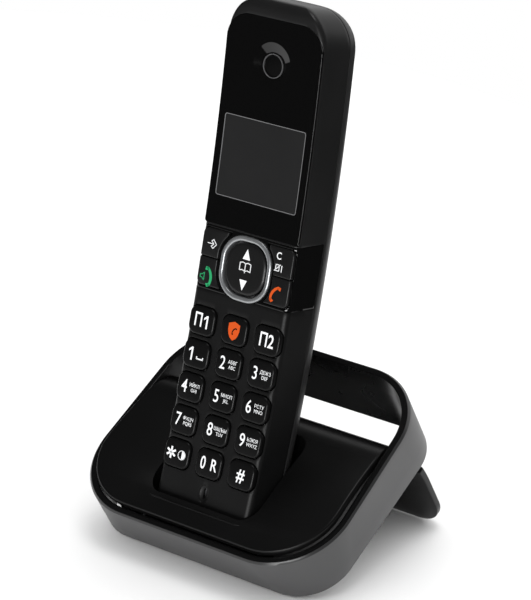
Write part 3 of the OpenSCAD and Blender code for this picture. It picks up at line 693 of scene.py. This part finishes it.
def lens_outline(grow=0.0):
    half = LENS_HALF + grow
    low, high = NAV_HIGH + 0.4 - grow, LENS_TOP + grow
    points = [(-half, low), (half, low), (half, high), (-half, high)]
    return lambda inset: rounded(points, [1, 1, LENS_CORNER + grow, LENS_CORNER + grow], 12, inset)


def face_slab(outline, profile, cuts=(), hoop=False):
    """A slab that follows the hollow face."""
    return slab(outline, profile, on_face, cuts, hoop)


def key_place(row, column):
    return (column - 1) * KEY_PITCH[0], KEY_FIRST_ROW + (4 - row) * KEY_PITCH[1]


def dimple(u, v, half_width, half_height, deep):
    """A cutter for a shallow oval hollow in the face."""
    bm = bmesh.new()
    bmesh.ops.create_uvsphere(bm, u_segments=48, v_segments=32, radius=1)
    for vert in bm.verts:
        x, y, z = vert.co
        vert.co = on_face(u + x * half_width, v + y * half_height, z * deep)
    return new_object(bm, "dimple")


def front_shell():
    piece = shell("front", "front_casing", FRONT_WALL)
    recess = face_slab(lens_outline(0.1), [(0, -LENS_RECESS), (0, 5)], spaced(92, 161, 3))
    cutters = [new_object(recess, "recess")]
    nav = box_outline((0, (NAV_LOW + NAV_HIGH) / 2), (60, NAV_HIGH - NAV_LOW + 0.1), 0.05, 1)
    cutters.append(prism(nav, -8, face_at(81) + NAV_WRAP + 0.05, tilted))
    for row in range(5):
        for column in range(3):
            size = (KEY_SIZE[0] + 2 * KEY_GAP + 0.2, KEY_SIZE[1] + 2 * KEY_GAP + 0.2)
            cutters.append(prism(box_outline(key_place(row, column), size, KEY_CORNER + KEY_GAP, 8), -6, 9))
    cutters.append(prism(box_outline((0, MIC_HEIGHT), (1.0, 3.6), 0.45, 6), -6, 8))
    cutters.append(dimple(0, MIC_HEIGHT, 2.0, 3.1, 0.7))
    combine(piece, cutters)
    soften(piece, 0.14, 50)
    settle(piece, "handset_front_shell", M["hand"])
    piece.data.materials.append(M["head"])
    border = hand(0, 0, NAV_HIGH - 2)
    up = hand(0, 0, 1) - hand(0, 0, 0)
    for face in piece.data.polygons:
        face.material_index = 1 if (face.center - border).dot(up) > 0 else 0
    return piece


def bezel():
    """The glossy frame of the navigation keys, which wraps round both sides."""
    piece = shell("front", "navigation_frame", FRONT_WALL)
    keep = box_outline((0, (NAV_LOW + NAV_HIGH) / 2), (60, NAV_HIGH - NAV_LOW - 0.3), 0.05, 1)
    combine(piece, [prism(keep, -8, face_at(81) + NAV_WRAP - 0.12, tilted)], "INTERSECT")
    cutters = [prism(box_outline((0, NAV_CENTRE), (20.9, 21.7), 8.7, 12), -6, 12)]
    for side in (-1, 1):
        for top in (True, False):
            cutters.append(prism(side_key_outline(side, top, 0.3), -6, 12))
    combine(piece, cutters)
    soften(piece, 0.06, 50)
    return settle(piece, "navigation_bezel", M["gloss"])


def side_key_outline(side, top, grow=0.0):
    """One of the four keys beside the ring: a block with its inner corner hollowed round the ring."""
    outer, seam = 18.7 + grow, 0.12 - grow
    middle = 81.2
    end = 90.9 + grow if top else 71.7 - grow
    near = middle + seam if top else middle - seam
    ring_x, ring_y, corner = 11.45 - grow, 11.85 - grow, 9.6 - grow
    inner_far = 5.6 - grow
    centre_y = NAV_CENTRE + (ring_y - corner) * (1 if top else -1)
    arc = []
    rise = corner if top else -corner
    for k in range(13):
        turn = math.pi / 2 * k / 12
        arc.append((ring_x - corner + corner * math.cos(turn), centre_y + rise * math.sin(turn)))
    arc = [p for p in arc if (p[1] < end - 0.6 if top else p[1] > end + 0.6)]
    last = arc[-1]
    points = [(ring_x, near), (outer, near), (outer, end), (max(inner_far, last[0] - 0.4), end)] + arc[::-1]
    points = [(side * x, y) for x, y in points]
    area = sum(points[i - 1][0] * points[i][1] - points[i][0] * points[i - 1][1] for i in range(len(points)))
    if area < 0:
        points = points[::-1]
    radii = []
    for x, y in points:
        if abs(abs(x) - outer) < 1e-6:
            radii.append(2.0 if abs(y - end) < 1e-6 else 0.5)
        else:
            radii.append(0.15)
    return lambda inset: rounded(points, radii, 4, inset)


def flat_place(v, half, proud):
    """Places points on a flat key top that stands out of the face round height v."""
    low, high = face_at(v - half) - proud, face_at(v + half) - proud

    def place(x, y, h):
        return hand(x, low + (high - low) * (y - v + half) / (2 * half) - h, y)

    return place


KEY_TOPS = {}


def keypad():
    names = ["key_p1", "key_guard", "key_p2", "key_1", "key_2", "key_3", "key_4", "key_5", "key_6", "key_7",
             "key_8", "key_9", "key_star", "key_0", "key_hash"]
    for index, node in enumerate(names):
        u, v = key_place(index // 3, index % 3)
        profile = edge_profile(-4.2, 0, 0.75, 5)
        place = flat_place(v, KEY_SIZE[1], KEY_PROUD)
        piece = new_object(slab(box_outline((u, v), KEY_SIZE, KEY_CORNER, 10), profile, place), node + "_cap")
        settle(piece, node, M["key"])
        KEY_TOPS[node] = (u, v, place)


SIDE_KEYS = {"menu_key": (-1, True), "call_key": (-1, False), "clear_key": (1, True), "end_key": (1, False)}


def side_keys():
    for node, (side, top) in SIDE_KEYS.items():
        place = flat_place(SIDE_KEY_MIDDLE, 10, SIDE_KEY_PROUD)
        profile = edge_profile(-3.2, 0, 0.4, 4)
        piece = new_object(slab(side_key_outline(side, top), profile, place), node + "_cap")
        settle(piece, node, M["rocker"])
        KEY_TOPS[node] = (side * 15.2, 86.3 if top else 76.2, place)


def ring_and_rocker():
    place = flat_place(NAV_CENTRE, 10, 0.0)
    outline = box_outline((0, NAV_CENTRE), RING_SIZE, RING_CORNER, 16)
    profile = [(0.0, -2.4), (0.0, 0.1)]
    for k in range(9):
        turn = math.pi * k / 8
        profile.append((0.8 - 0.8 * math.cos(turn), 0.1 + 0.4 * math.sin(turn)))
    profile += [(1.6, -2.4)]
    ring = new_object(slab(outline, profile, place, hoop=True), "ring_band")
    settle(ring, "navigation_ring", M["silver"])
    dome = [(0.0, -2.9), (0.0, -0.55)]
    for k in range(1, 8):
        turn = math.pi / 2 * k / 7
        dome.append((1.3 * (1 - math.cos(turn)), -0.55 + 0.7 * math.sin(turn)))
    dome += [(3.2, 0.2), (5.4, 0.24)]
    cap = box_outline((0, NAV_CENTRE), ROCKER_SIZE, ROCKER_CORNER, 16)
    rocker = new_object(slab(cap, dome, place), "rocker_cap")
    settle(rocker, "navigation_key", M["rocker"])
    KEY_TOPS["navigation_key"] = (0, NAV_CENTRE, flat_place(NAV_CENTRE, 10, 0.24))


def lens():
    profile = edge_profile(-LENS_RECESS + 0.05, 0.12, 0.04, 1)
    piece = new_object(face_slab(lens_outline(0), profile, spaced(92, 161, 1.5)), "lens_panel")
    reach, flat, deep = 7.7, 4.4, 0.88
    slope = (deep + 0.12) / (reach - flat)
    rims = [0.4] + spaced(0.4, reach, 0.3) + [reach]
    bowl = [(reach - rho, max(-deep, (rho - flat) * slope - deep)) for rho in rims]
    dish = face_slab(round_outline(0, EAR_HEIGHT, reach, 96), bowl + [(0, 2)])
    width, height, centre = WINDOW["width"], WINDOW["height"], WINDOW["centre"]
    rows = spaced(100, 131, 1.5)
    window = face_slab(box_outline((0, centre), (width, height), 0.9, 6), [(0, -0.16), (0, 2)], rows)
    port = face_slab(round_outline(0, EAR_HEIGHT, 3.5, 48), [(0, -0.95), (0, 2)])
    combine(piece, [new_object(dish, "dish"), new_object(window, "window"), new_object(port, "port")])
    soften(piece, 0.03, 35)
    settle(piece, "display_lens", M["gloss"])
    pane = box_outline((0, centre), (width - 0.1, height - 0.1), 0.85, 6)
    glass = face_slab(pane, [(0, -0.15), (0, -0.07)], rows)
    trim(new_object(glass, "display_window"), "display_lens", M["display"])
    # The thin line round the display window, coloured light grey as painted highlight.
    line = face_slab(
        box_outline((0, centre), (width + 0.02, height + 0.02), 0.9, 6),
        [(0.0, -0.1), (0.0, 0.13), (0.2, 0.13), (0.2, -0.1)], rows, hoop=True,
    )
    trim(new_object(line, "window_edge_painted_highlight"), "display_lens", M["window_highlight_line"])
    # The raised ring round the earpiece hollow, coloured light grey as painted highlight.
    ear = face_slab(
        round_outline(0, EAR_HEIGHT, 4.25, 64),
        [(0.3, -0.9), (0.3, -0.42), (0.36, -0.35), (0.46, -0.35), (0.52, -0.42), (0.52, -0.9)], hoop=True,
    )
    trim(new_object(ear, "earpiece_ring"), "display_lens", M["earpiece_highlight_line"])
    cloth = face_slab(round_outline(0, EAR_HEIGHT, 3.4, 48), [(0, -0.93), (0, -0.82), (0.1, -0.8)])
    trim(new_object(cloth, "earpiece_mesh"), "display_lens", M["dark"])


def under_the_back(u, depth, v):
    """Places the battery bay: its floor is flat, and its walls end inside the thickness of the rear skin."""
    return hand(u, depth if depth < BAY["floor"] else face_at(v) + 20, v)


def rear_shell():
    centre = (0, (DOOR["low"] + DOOR["high"]) / 2)
    size = (2 * DOOR["half"], DOOR["high"] - DOOR["low"])
    bay = (BAY["width"], BAY["height"])
    piece = shell("back", "rear_casing", REAR_WALL)
    door = piece.copy()
    door.data = piece.data.copy()
    door.name = "battery_cover"
    bpy.context.scene.collection.objects.link(door)
    case = box_outline(centre, (bay[0] + 2 * BAY["wall"], bay[1] + 2 * BAY["wall"]), 0.6, 4)
    combine(piece, [prism(case, BAY["front"], BEYOND, under_the_back)], "UNION")
    cutters = [prism(box_outline(centre, size, DOOR["corner"], 10), DOOR["depth"], BEYOND)]
    cutters.append(prism(box_outline(centre, bay, 0.3, 4), BAY["floor"], BEYOND))
    for x, v in SCREW_PLACES:
        cutters.append(prism(round_outline(x, v, 1.5, 32), BAY["front"] - 1, BAY["floor"] + 2))
    cutters += [prism(box_outline((x, 136), (1.0, 8.0), 0.45, 6), 18, BEYOND) for x in (-4, -2, 0, 2, 4)]
    combine(piece, cutters)
    soften(piece, 0.14, 50)
    settle(piece, "handset_rear_shell", M["rear"])
    gap = DOOR["gap"]
    inner = box_outline(centre, (size[0] - 2 * gap, size[1] - 2 * gap), DOOR["corner"] - gap, 10)
    combine(door, [prism(inner, DOOR["depth"] + gap, BEYOND)], "INTERSECT")
    grips = []
    for k in range(5):
        v = 92.0 - 1.7 * k
        grips.append(prism(box_outline((0, v), (11.0, 0.6), 0.29, 6), face_at(v) + BODY_DEPTH - 0.35, BEYOND))
    combine(door, grips)
    soften(door, 0.14, 50)
    settle(door, "battery_door", M["rear"])


# ---------- printing on the keys ----------
def flat_shape(name, polygons, node, material, thick=0.03):
    """Closed flat polygons, in millimetres about a key's centre, lying on its top."""
    u, v, place = KEY_TOPS[node]
    verts, faces = [], []
    for points in polygons:
        count = len(points)
        start = len(verts)
        for h in (-0.01, thick):
            verts += [place(u + x, v + y, h) for x, y in points]
        faces += [tuple(start + i for i in face) for face in ring_faces(2, count)]
        faces += [tuple(range(start, start + count)), tuple(range(start + count, start + 2 * count))]
    piece = new_object(build(verts, faces), name)
    return trim(piece, node, material)


def stroke(points, width, closed=False):
    """Quads along a line, as separate little bars with shared ends."""
    bars = []
    points = [Vector(p) for p in points]
    pairs = zip(points, points[1:] + points[:1]) if closed else zip(points, points[1:])
    for a, b in pairs:
        along = (b - a).normalized() * width * 0.35
        side = Vector((-along.y, along.x)).normalized() * width / 2
        a, b = a - along, b + along
        bars.append([tuple(p) for p in (a - side, b - side, b + side, a + side)])
    return bars


def arc_points(x, y, radius, start, end, steps):
    return [
        (x + radius * math.cos(math.radians(start + (end - start) * k / steps)),
         y + radius * math.sin(math.radians(start + (end - start) * k / steps)))
        for k in range(steps + 1)
    ]


def lettering(name, text, node, size, dx=0.0, dy=0.0, material=None, bold=0.012, squeeze=1.0):
    """Digits and letters, centred at (dx, dy) on a key."""
    u, v, place = KEY_TOPS[node]
    curve = bpy.data.curves.new(name, "FONT")
    curve.body = text
    curve.size = size
    curve.offset = bold * size
    curve.extrude = 0.02
    curve.align_x = "CENTER"
    curve.align_y = "CENTER"
    curve.resolution_u = 4
    source = bpy.data.objects.new(name, curve)
    bpy.context.scene.collection.objects.link(source)
    bpy.context.view_layer.update()
    mesh = bpy.data.meshes.new_from_object(source.evaluated_get(bpy.context.evaluated_depsgraph_get()))
    bpy.data.objects.remove(source)
    for vertex in mesh.vertices:
        x, y, h = vertex.co
        vertex.co = place(u + dx + x * squeeze, v + dy + y, h + 0.015)
    piece = bpy.data.objects.new(name, mesh)
    bpy.context.scene.collection.objects.link(piece)
    return trim(piece, node, material or M["white"])


def figure_one(dx, tall, wide=0.62):
    """The digit 1, with its flag."""
    half = tall / 2
    stem = [(dx - wide / 2, -half), (dx + wide / 2, -half), (dx + wide / 2, half), (dx - wide / 2, half)]
    left = dx - wide / 2
    flag = [(left, half), (dx - 1.35, half - 0.95), (dx - 1.35, half - 1.6), (left + 0.1, half - 0.85)]
    return [stem, flag]


def handset_icon(dx, dy, size, turn):
    """A telephone receiver: an arc between two square ends."""
    spine = arc_points(1.25, 0, 1.45, 138, 222, 14)
    outer = [(x - 0.13, y) for x, y in spine]
    inner = [(x + 0.19, y) for x, y in reversed(spine)]
    polygons = [outer + inner]
    for sign in (-1, 1):
        polygons.append([(0.02, sign * 0.98), (0.4, sign * 1.06), (0.54, sign * 0.7), (0.08, sign * 0.66)])
    c, s = math.cos(math.radians(turn)), math.sin(math.radians(turn))
    return [
        [(dx + size * (x * c - y * s), dy + size * (x * s + y * c)) for x, y in polygon]
        for polygon in polygons
    ]


def shifted(bars, dx, dy, size=1.0):
    return [[(x * size + dx, y * size + dy) for x, y in bar] for bar in bars]


def legends():
    digits = {
        "key_2": ("2", "АБВГ\nABC"), "key_3": ("3", "ДЕЖЗ\nDEF"), "key_4": ("4", "ИЙКЛ\nGHI"),
        "key_5": ("5", "МНОП\nJKL"), "key_6": ("6", "РСТУ\nMNO"), "key_7": ("7", "ФХЦЧ\nPQRS"),
        "key_8": ("8", "ШЩЪЫ\nTUV"), "key_9": ("9", "ЬЭЮЯ\nWXYZ"),
    }
    for node, (digit, letters) in digits.items():
        lettering(node + "_digit", digit, node, 6.2, dx=-2.2, dy=0.0, squeeze=0.78, bold=0.004)
        lettering(node + "_letters", letters, node, 1.7, dx=1.9, dy=0.1, squeeze=0.88, bold=0.0)
    flat_shape("key_1_digit", figure_one(-1.6, 4.4), "key_1", M["white"])
    space = [(-0.3, 0.35), (-0.3, -0.25), (2.2, -0.25), (2.2, 0.35)]
    flat_shape("key_1_space", stroke([(x + 0.9, y - 1.0) for x, y in space], 0.42), "key_1", M["white"])
    lettering("key_p1_label", "П", "key_p1", 6.2, dx=-1.3, squeeze=0.8, bold=0.012)
    flat_shape("key_p1_digit", figure_one(2.3, 4.4), "key_p1", M["white"])
    lettering("key_p2_label", "П2", "key_p2", 6.2, squeeze=0.8, bold=0.012)
    lettering("key_0_digit", "0", "key_0", 6.0, dx=-2.2, squeeze=0.72, bold=0.01)
    lettering("key_0_letter", "R", "key_0", 5.6, dx=2.2, squeeze=0.8, bold=0.01)
    lettering("key_hash_label", "#", "key_hash", 6.2, squeeze=0.85, bold=0.014)
    star = []
    for k in range(3):
        turn = math.radians(90 + 60 * k)
        reach = Vector((math.cos(turn), math.sin(turn))) * 1.75
        star += stroke([(-2.2 - reach.x, -reach.y), (-2.2 + reach.x, reach.y)], 0.7)
    flat_shape("key_star_label", star, "key_star", M["white"])
    moon = stroke(arc_points(2.2, 0, 1.45, 0, 360, 24)[:-1], 0.28, closed=True)
    moon.append(arc_points(2.2, 0, 1.4, -90, 90, 14))
    flat_shape("key_star_tone", moon, "key_star", M["white"])
    shield = [(0, 3.1), (2.3, 2.3)] + [(2.3, 0.2)] + [(1.9, -1.3), (1.2, -2.4), (0, -3.2)]
    shield = shield + [(-x, y) for x, y in reversed(shield[1:-1])]
    flat_shape("key_guard_shield", [shield], "key_guard", M["orange"])
    flat_shape("key_guard_phone", handset_icon(0.0, 0.1, 1.35, -33), "key_guard", M["dark"], 0.05)
    flat_shape("rocker_up", [[(-1.5, 3.3), (1.5, 3.3), (0, 6.8)]], "navigation_key", M["white"])
    flat_shape("rocker_down", [[(-1.5, -3.5), (0, -7.0), (1.5, -3.5)]], "navigation_key", M["white"])
    book = []
    for sign in (-1, 1):
        page = [(0, -1.7), (1.1, -1.25), (2.5, -1.55), (2.5, 1.25), (1.1, 1.6), (0, 1.2)]
        book += stroke([(sign * x, y) for x, y in page], 0.32)
    book += stroke([(0, 1.2), (0, -2.2)], 0.32)
    flat_shape("rocker_book", shifted(book, 0, 0.9, 0.88), "navigation_key", M["white"])
    entry = stroke([(-0.4, 0.85), (0.4, 1.5), (1.7, 0.0), (0.4, -1.5), (-0.4, -0.85)], 0.24)
    entry += stroke([(-1.9, 0), (0.6, 0)], 0.24) + stroke([(-0.15, 0.7), (0.65, 0), (-0.15, -0.7)], 0.24)
    flat_shape("menu_mark", shifted(entry, 0.8, -0.5), "menu_key", M["white"])
    flat_shape("call_mark", handset_icon(1.6, -1.3, 3.2, 190), "call_key", M["green"])
    cone = [(-2.6, 0.5), (-1.9, 0.5), (-1.0, 1.3), (-1.0, -1.3), (-1.9, -0.5), (-2.6, -0.5), (-2.6, 0.5)]
    flat_shape("call_speaker", shifted(stroke(cone, 0.28), 0.4, -1.6), "call_key", M["green"])
    flat_shape("end_mark", handset_icon(-2.3, -0.3, 2.95, -32), "end_key", M["orange"])
    lettering("clear_letter", "C", "clear_key", 3.3, dx=-2.4, dy=1.7, squeeze=0.9, bold=0.01)
    mute = stroke([(-1.5, -3.1), (-1.5, -1.1), (-0.1, -1.1), (-0.1, -3.1)], 0.26, closed=True)
    mute += stroke([(-1.9, -3.2), (0.3, -1.0)], 0.26) + stroke([(0.9, -3.2), (0.9, -1.2)], 0.3)
    flat_shape("clear_mute", shifted(mute, -1.6, 0), "clear_key", M["white"])


# ---------- small parts that keep the CAD shape ----------
def small_parts():
    plain = {
        "base_bottom_cover": "under", "base_feet": "foot", "base_screws": "steel",
        "base_circuit_board": "board", "base_radio_shield": "tin", "line_socket": "socket",
        "power_socket": "socket", "paging_button": "button", "paging_switch": "tin",
        "charge_pin_left": "gold", "charge_pin_right": "gold", "keypad_membrane": "rubber",
        "handset_circuit_board": "board", "display_module": "display", "earpiece": "speaker",
        "microphone": "tin", "ringer": "speaker", "radio_shield": "tin", "batteries": "cell",
        "battery_contacts": "steel", "charge_pads": "gold", "handset_screws": "steel",
    }
    widths = {
        "base_bottom_cover": 0.5, "paging_button": 0.5, "line_socket": 0.3, "power_socket": 0.3,
        "base_feet": 0.3,
    }
    for node, finish in plain.items():
        refine(node, M[finish], widths.get(node, 0.12), 50)


# ---------- stage ----------
WORLD_FILL = 1.1
WORLD_MIRRORED = 0.03
FLOOR_RADIUS = 0.42
FLOOR_CENTRE = (-0.28, 0.02, 0.0)
LIGHTS = [
    ("back_strip", (0, 1.6, 0.7), (0, 0, 0.09), (3.0, 1.5), 13),
    ("front_low", (0.35, -1.2, 0.12), (0, -0.05, 0.02), (0.8, 0.2), 8),
    ("top_box", (0.1, 0.1, 1.3), (0, 0, 0.1), (0.7, 0.5), 4),
]
CAMERA = {
    "azimuth": 38.04, "elevation": 22.72, "distance": 956.61, "target": (-5.59, 45, 80.43), "lens": 172.46,
}


def area_light(name, place, aim, size, power):
    light = bpy.data.lights.new(name, "AREA")
    light.shape = "RECTANGLE"
    light.size, light.size_y = size
    light.energy = power
    lamp = bpy.data.objects.new(name, light)
    lamp.location = place
    lamp.rotation_euler = (Vector(aim) - Vector(place)).to_track_quat("-Z", "Y").to_euler()
    bpy.context.scene.collection.objects.link(lamp)
    return lamp


def stage():
    bm = bmesh.new()
    bmesh.ops.create_circle(bm, cap_ends=True, segments=128, radius=FLOOR_RADIUS)
    bmesh.ops.translate(bm, verts=bm.verts[:], vec=FLOOR_CENTRE)
    floor = new_object(bm, "floor")
    pale = plastic("floor_pale", (0.86, 0.86, 0.86), 0.6, mottle=0.01)
    floor.data.materials.append(pale)
    world = bpy.data.worlds.new("studio")
    world.use_nodes = True
    bpy.context.scene.world = world
    nodes, links = world.node_tree.nodes, world.node_tree.links
    background = nodes["Background"]
    background.inputs["Color"].default_value = (1, 1, 1, 1)
    path = nodes.new("ShaderNodeLightPath")
    seen = nodes.new("ShaderNodeMapRange")
    seen.inputs["To Min"].default_value = WORLD_FILL
    seen.inputs["To Max"].default_value = WORLD_MIRRORED
    links.new(path.outputs["Is Glossy Ray"], seen.inputs["Value"])
    level = nodes.new("ShaderNodeMapRange")
    level.inputs["To Max"].default_value = 1.0
    links.new(seen.outputs["Result"], level.inputs["To Min"])
    links.new(path.outputs["Is Camera Ray"], level.inputs["Value"])
    links.new(level.outputs["Result"], background.inputs["Strength"])
    bpy.context.scene.view_settings.view_transform = "Standard"
    for name, place, aim, size, power in LIGHTS:
        area_light(name, place, aim, size, power)


def camera():
    azimuth, elevation = math.radians(CAMERA["azimuth"]), math.radians(CAMERA["elevation"])
    x, y, z = CAMERA["target"]
    target = Vector((x, y - MIDDLE_Y, z))
    towards = Vector((
        math.sin(azimuth) * math.cos(elevation), -math.cos(azimuth) * math.cos(elevation), math.sin(elevation)
    ))
    data = bpy.data.cameras.new("camera")
    data.lens = CAMERA["lens"]
    data.sensor_width = 36
    data.clip_start = 0.01
    view = bpy.data.objects.new("camera", data)
    view.location = (target + towards * CAMERA["distance"]) * MM
    view.rotation_euler = (-towards).to_track_quat("-Z", "Y").to_euler()
    bpy.context.scene.collection.objects.link(view)
    bpy.context.scene.camera = view


camera()
stage()
band_wall()
cradle_tray()
front_shell()
bezel()
keypad()
side_keys()
ring_and_rocker()
lens()
rear_shell()
legends()
small_parts()

bpy.context.view_layer.update()
